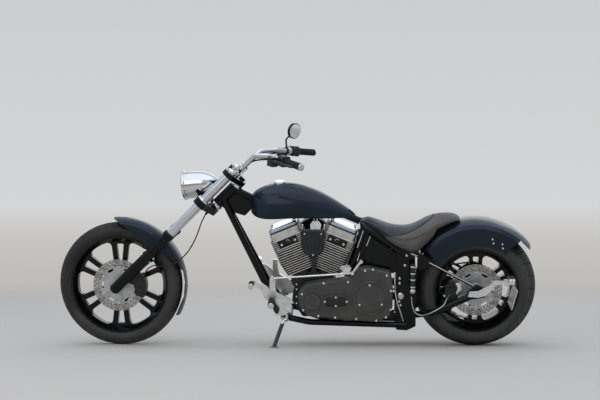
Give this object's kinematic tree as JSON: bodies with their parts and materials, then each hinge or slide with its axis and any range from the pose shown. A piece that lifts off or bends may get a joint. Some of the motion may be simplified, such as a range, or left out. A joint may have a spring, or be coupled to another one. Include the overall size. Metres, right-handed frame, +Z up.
{
  "type": "chopper motorcycle",
  "caption": "Long low chopper motorcycle with raked fork, V-twin engine, teardrop tank, wide rear tyre and side stand; steering, wheels and stand move",
  "frame": {"origin": "on the ground, under the middle of the parked machine's bounding box", "axes": "+X forward along the machine, +Y to its left, +Z up; the machine leans to its left on its side stand"},
  "size_m": [2.6811, 0.9192, 1.2612],
  "materials": {
    "frame_black": "gloss black paint",
    "body_paint": "deep gloss blue-black lacquer",
    "chrome": "polished chrome plate",
    "engine_black": "satin black coating",
    "cover_grey": "satin dark grey coating",
    "cylinder_metal": "cast and machined fins",
    "polished_alloy": "polished",
    "brushed_steel": "ground brake surface",
    "wheel_black": "gloss black lacquer",
    "exhaust_black": "matt black ceramic coating",
    "box_black": "gloss",
    "tyre": "tyre rubber",
    "belt_rubber": "toothed belt",
    "grip_rubber": "ribbed",
    "peg_rubber": "ribbed with bright rings",
    "control_black": "satin black",
    "hose_black": "smooth brake hose",
    "braided_steel": "braided steel hose",
    "seat_leather": "black leather with stitched seams",
    "lens_glass": "clear"
  },
  "bodies": {
    "chassis": {"frame_neck_and_backbone": "frame_black", "frame_cradle": "frame_black", "seat_frame": "frame_black", "swingarm": "frame_black", "rear_axle": "chrome", "crankcase": "engine_black", "cylinders": "cylinder_metal", "rocker_boxes": "chrome", "gearbox": "engine_black", "primary_cover": "cover_grey", "primary_access_covers": "cover_grey", "cylinder_cover": "engine_black", "intake_and_air_cleaner": "engine_black", "cam_cover_and_pushrods": "cover_grey", "exhaust_pipes": "exhaust_black", "fuel_tank": "body_paint", "fuel_cap": "chrome", "rear_fender": "body_paint", "seat": "seat_leather", "oil_tank": "box_black", "drive_belt": "belt_rubber", "drive_sprocket": "brushed_steel", "left_foot_control": "polished_alloy", "right_foot_control": "polished_alloy", "passenger_pegs": "peg_rubber", "rear_brake_caliper": "engine_black", "licence_plate_holder": "polished_alloy", "side_stand_bracket": "frame_black", "rear_brake_hose": "braided_steel", "oil_line": "chrome", "foot_peg_rubbers": "peg_rubber", "engine_top_mount": "polished_alloy"},
    "fork": {"triple_trees": "frame_black", "fork_tubes": "chrome", "fork_legs": "frame_black", "front_axle": "chrome", "handlebar": "chrome", "handlebar_grips": "grip_rubber", "hand_controls": "control_black", "mirror": "frame_black", "headlight": "chrome", "headlight_lens": "lens_glass", "headlight_bracket": "frame_black", "front_fender": "body_paint", "front_brake_caliper": "engine_black", "front_brake_hose": "hose_black"},
    "front_wheel": {"front_tyre": "tyre", "front_wheel": "wheel_black", "front_brake_disc": "brushed_steel"},
    "rear_wheel": {"rear_tyre": "tyre", "rear_wheel": "wheel_black", "rear_brake_disc": "brushed_steel", "rear_belt_pulley": "wheel_black"},
    "side_stand": {"side_stand": "chrome"}
  },
  "joints": [
    {"name": "steering", "type": "hinge", "parent": "chassis", "child": "fork", "pos_m": [0.39399, -0.01632, 0.84061], "axis": [-0.7071, 0.147, 0.6917], "range_deg": [-22.5, 33.5]},
    {"name": "front_wheel_spin", "type": "hinge", "parent": "fork", "child": "front_wheel", "pos_m": [0.99129, -0.12758, 0.34717], "axis": [0.0678, 0.9877, -0.1407], "continuous": true},
    {"name": "rear_wheel_spin", "type": "hinge", "parent": "chassis", "child": "rear_wheel", "pos_m": [-1.0005, -0.12354, 0.33618], "axis": [0, 0.9781, -0.2079], "continuous": true},
    {"name": "side_stand_fold", "type": "hinge", "parent": "chassis", "child": "side_stand", "pos_m": [0.0615, 0.01803, 0.16532], "axis": [0.1487, 0.9104, 0.3861], "range_deg": [0, 97.7]}
  ]
}
